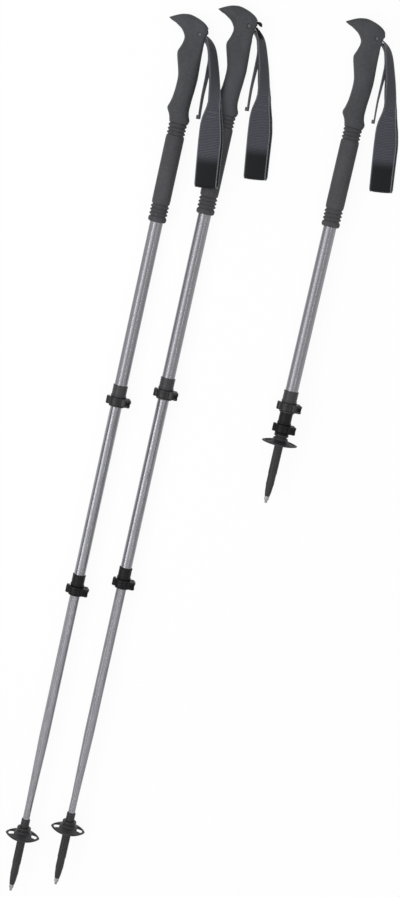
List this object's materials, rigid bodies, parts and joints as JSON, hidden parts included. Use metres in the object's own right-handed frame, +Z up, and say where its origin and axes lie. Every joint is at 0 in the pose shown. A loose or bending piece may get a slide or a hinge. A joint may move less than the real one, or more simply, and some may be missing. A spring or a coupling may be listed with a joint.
{
  "type": "trekking poles",
  "caption": "Telescopic trekking poles with beaked foam grips, padded wrist straps, lever clamps, trekking baskets and tipped ferrules, some extended and one pushed together.",
  "frame": {"origin": "centre of the bounding box on the surface that the poles lie on", "axes": "+Z up from that surface, +Y along the poles towards their grips, +X from the beaks to the wrist straps"},
  "size_m": [0.3486, 1.3259, 0.0504],
  "materials": {
    "grip_foam": "matte",
    "sleeve_foam": "matte",
    "pin_steel": "satin",
    "black_plastic": "satin",
    "webbing": "woven",
    "strap_padding": "ribbed weave",
    "tube_aluminium": "anodised",
    "clamp_plastic": "satin",
    "lever_plastic": "satin",
    "guide_plastic": "smooth",
    "ferrule_plastic": "matte",
    "basket_plastic": "matte",
    "tip_steel": "turned"
  },
  "bodies": {
    "pole_1_upper": {"pole_1_grip": "grip_foam", "pole_1_grip_extension": "sleeve_foam", "pole_1_strap_pin": "pin_steel", "pole_1_upper_shaft": "tube_aluminium", "pole_1_upper_clamp": "clamp_plastic", "pole_1_upper_lever_fastener": "pin_steel"},
    "pole_1_wedge": {"pole_1_strap_wedge": "black_plastic"},
    "pole_1_strap": {"pole_1_wrist_strap": "webbing", "pole_1_strap_pad": "strap_padding"},
    "pole_1_upper_lever_body": {"pole_1_upper_lever": "lever_plastic"},
    "pole_1_middle": {"pole_1_middle_shaft": "tube_aluminium", "pole_1_middle_guide": "guide_plastic", "pole_1_lower_clamp": "clamp_plastic", "pole_1_lower_lever_fastener": "pin_steel"},
    "pole_1_lower_lever_body": {"pole_1_lower_lever": "lever_plastic"},
    "pole_1_lower": {"pole_1_lower_shaft": "tube_aluminium", "pole_1_lower_guide": "guide_plastic", "pole_1_ferrule": "ferrule_plastic", "pole_1_basket": "basket_plastic", "pole_1_carbide_tip": "tip_steel"},
    "pole_2_upper": {"pole_2_grip": "grip_foam", "pole_2_grip_extension": "sleeve_foam", "pole_2_strap_pin": "pin_steel", "pole_2_upper_shaft": "tube_aluminium", "pole_2_upper_clamp": "clamp_plastic", "pole_2_upper_lever_fastener": "pin_steel"},
    "pole_2_wedge": {"pole_2_strap_wedge": "black_plastic"},
    "pole_2_strap": {"pole_2_wrist_strap": "webbing", "pole_2_strap_pad": "strap_padding"},
    "pole_2_upper_lever_body": {"pole_2_upper_lever": "lever_plastic"},
    "pole_2_middle": {"pole_2_middle_shaft": "tube_aluminium", "pole_2_middle_guide": "guide_plastic", "pole_2_lower_clamp": "clamp_plastic", "pole_2_lower_lever_fastener": "pin_steel"},
    "pole_2_lower_lever_body": {"pole_2_lower_lever": "lever_plastic"},
    "pole_2_lower": {"pole_2_lower_shaft": "tube_aluminium", "pole_2_lower_guide": "guide_plastic", "pole_2_ferrule": "ferrule_plastic", "pole_2_basket": "basket_plastic", "pole_2_carbide_tip": "tip_steel"},
    "pole_3_upper": {"pole_3_grip": "grip_foam", "pole_3_grip_extension": "sleeve_foam", "pole_3_strap_pin": "pin_steel", "pole_3_upper_shaft": "tube_aluminium", "pole_3_upper_clamp": "clamp_plastic", "pole_3_upper_lever_fastener": "pin_steel"},
    "pole_3_wedge": {"pole_3_strap_wedge": "black_plastic"},
    "pole_3_strap": {"pole_3_wrist_strap": "webbing", "pole_3_strap_pad": "strap_padding"},
    "pole_3_upper_lever_body": {"pole_3_upper_lever": "lever_plastic"},
    "pole_3_middle": {"pole_3_middle_shaft": "tube_aluminium", "pole_3_middle_guide": "guide_plastic", "pole_3_lower_clamp": "clamp_plastic", "pole_3_lower_lever_fastener": "pin_steel"},
    "pole_3_lower_lever_body": {"pole_3_lower_lever": "lever_plastic"},
    "pole_3_lower": {"pole_3_lower_shaft": "tube_aluminium", "pole_3_lower_guide": "guide_plastic", "pole_3_ferrule": "ferrule_plastic", "pole_3_basket": "basket_plastic", "pole_3_carbide_tip": "tip_steel"}
  },
  "joints": [
    {"name": "pole_1_middle_slide", "type": "slide", "parent": "pole_1_upper", "child": "pole_1_middle", "axis": [0, -1, 0.0096], "range_m": [-0.247, 0.043]},
    {"name": "pole_1_lower_slide", "type": "slide", "parent": "pole_1_middle", "child": "pole_1_lower", "axis": [0, -1, 0.0096], "range_m": [-0.356, 0.044]},
    {"name": "pole_1_upper_lever_hinge", "type": "hinge", "parent": "pole_1_upper", "child": "pole_1_upper_lever_body", "pos_m": [-0.1167, 0.07956, 0.02819], "axis": [0, 1, -0.0096], "range_deg": [0, 120]},
    {"name": "pole_1_lower_lever_hinge", "type": "hinge", "parent": "pole_1_middle", "child": "pole_1_lower_lever_body", "pos_m": [-0.1177, -0.19843, 0.03086], "axis": [0, 1, -0.0096], "range_deg": [0, 120]},
    {"name": "pole_1_strap_swing", "type": "hinge", "parent": "pole_1_upper", "child": "pole_1_strap", "pos_m": [-0.1285, 0.59324, 0.01374], "axis": [0, 0.0096, 1], "range_deg": [-4, 3]},
    {"name": "pole_1_wedge_slide", "type": "slide", "parent": "pole_1_upper", "child": "pole_1_wedge", "axis": [1, 0, 0], "range_m": [0, 0.008]},
    {"name": "pole_1_lift", "type": "slide", "parent": "pole_2_upper", "child": "pole_1_upper", "axis": [0, 0, 1], "range_m": [0, 0.3]},
    {"name": "pole_2_middle_slide", "type": "slide", "parent": "pole_2_upper", "child": "pole_2_middle", "axis": [0, -1, 0.0096], "range_m": [-0.247, 0.043]},
    {"name": "pole_2_lower_slide", "type": "slide", "parent": "pole_2_middle", "child": "pole_2_lower", "axis": [0, -1, 0.0096], "range_m": [-0.356, 0.044]},
    {"name": "pole_2_upper_lever_hinge", "type": "hinge", "parent": "pole_2_upper", "child": "pole_2_upper_lever_body", "pos_m": [-0.0542, 0.10456, 0.02819], "axis": [0, 1, -0.0096], "range_deg": [0, 120]},
    {"name": "pole_2_lower_lever_hinge", "type": "hinge", "parent": "pole_2_middle", "child": "pole_2_lower_lever_body", "pos_m": [-0.0552, -0.17343, 0.03086], "axis": [0, 1, -0.0096], "range_deg": [0, 120]},
    {"name": "pole_2_strap_swing", "type": "hinge", "parent": "pole_2_upper", "child": "pole_2_strap", "pos_m": [-0.066, 0.61824, 0.01374], "axis": [0, 0.0096, 1], "range_deg": [-4, 15]},
    {"name": "pole_2_wedge_slide", "type": "slide", "parent": "pole_2_upper", "child": "pole_2_wedge", "axis": [1, 0, 0], "range_m": [-0.008, 0]},
    {"name": "pole_3_middle_slide", "type": "slide", "parent": "pole_3_upper", "child": "pole_3_middle", "axis": [0, -0.9998, 0.0204], "range_m": [0, 0.29]},
    {"name": "pole_3_lower_slide", "type": "slide", "parent": "pole_3_middle", "child": "pole_3_lower", "axis": [0, -0.9998, 0.0204], "range_m": [0, 0.4]},
    {"name": "pole_3_upper_lever_hinge", "type": "hinge", "parent": "pole_3_upper", "child": "pole_3_upper_lever_body", "pos_m": [0.1173, 0.12566, 0.03342], "axis": [0, 0.9998, -0.0204], "range_deg": [0, 120]},
    {"name": "pole_3_lower_lever_hinge", "type": "hinge", "parent": "pole_3_middle", "child": "pole_3_lower_lever_body", "pos_m": [0.1163, 0.09467, 0.03405], "axis": [0, 0.9998, -0.0204], "range_deg": [0, 120]},
    {"name": "pole_3_strap_swing", "type": "hinge", "parent": "pole_3_upper", "child": "pole_3_strap", "pos_m": [0.1055, 0.63916, 0.01344], "axis": [0, 0.0204, 0.9998], "range_deg": [-4, 15]},
    {"name": "pole_3_wedge_slide", "type": "slide", "parent": "pole_3_upper", "child": "pole_3_wedge", "axis": [1, 0, 0], "range_m": [0, 0.008]},
    {"name": "pole_3_lift", "type": "slide", "parent": "pole_2_upper", "child": "pole_3_upper", "axis": [0, 0, 1], "range_m": [0, 0.3]}
  ]
}
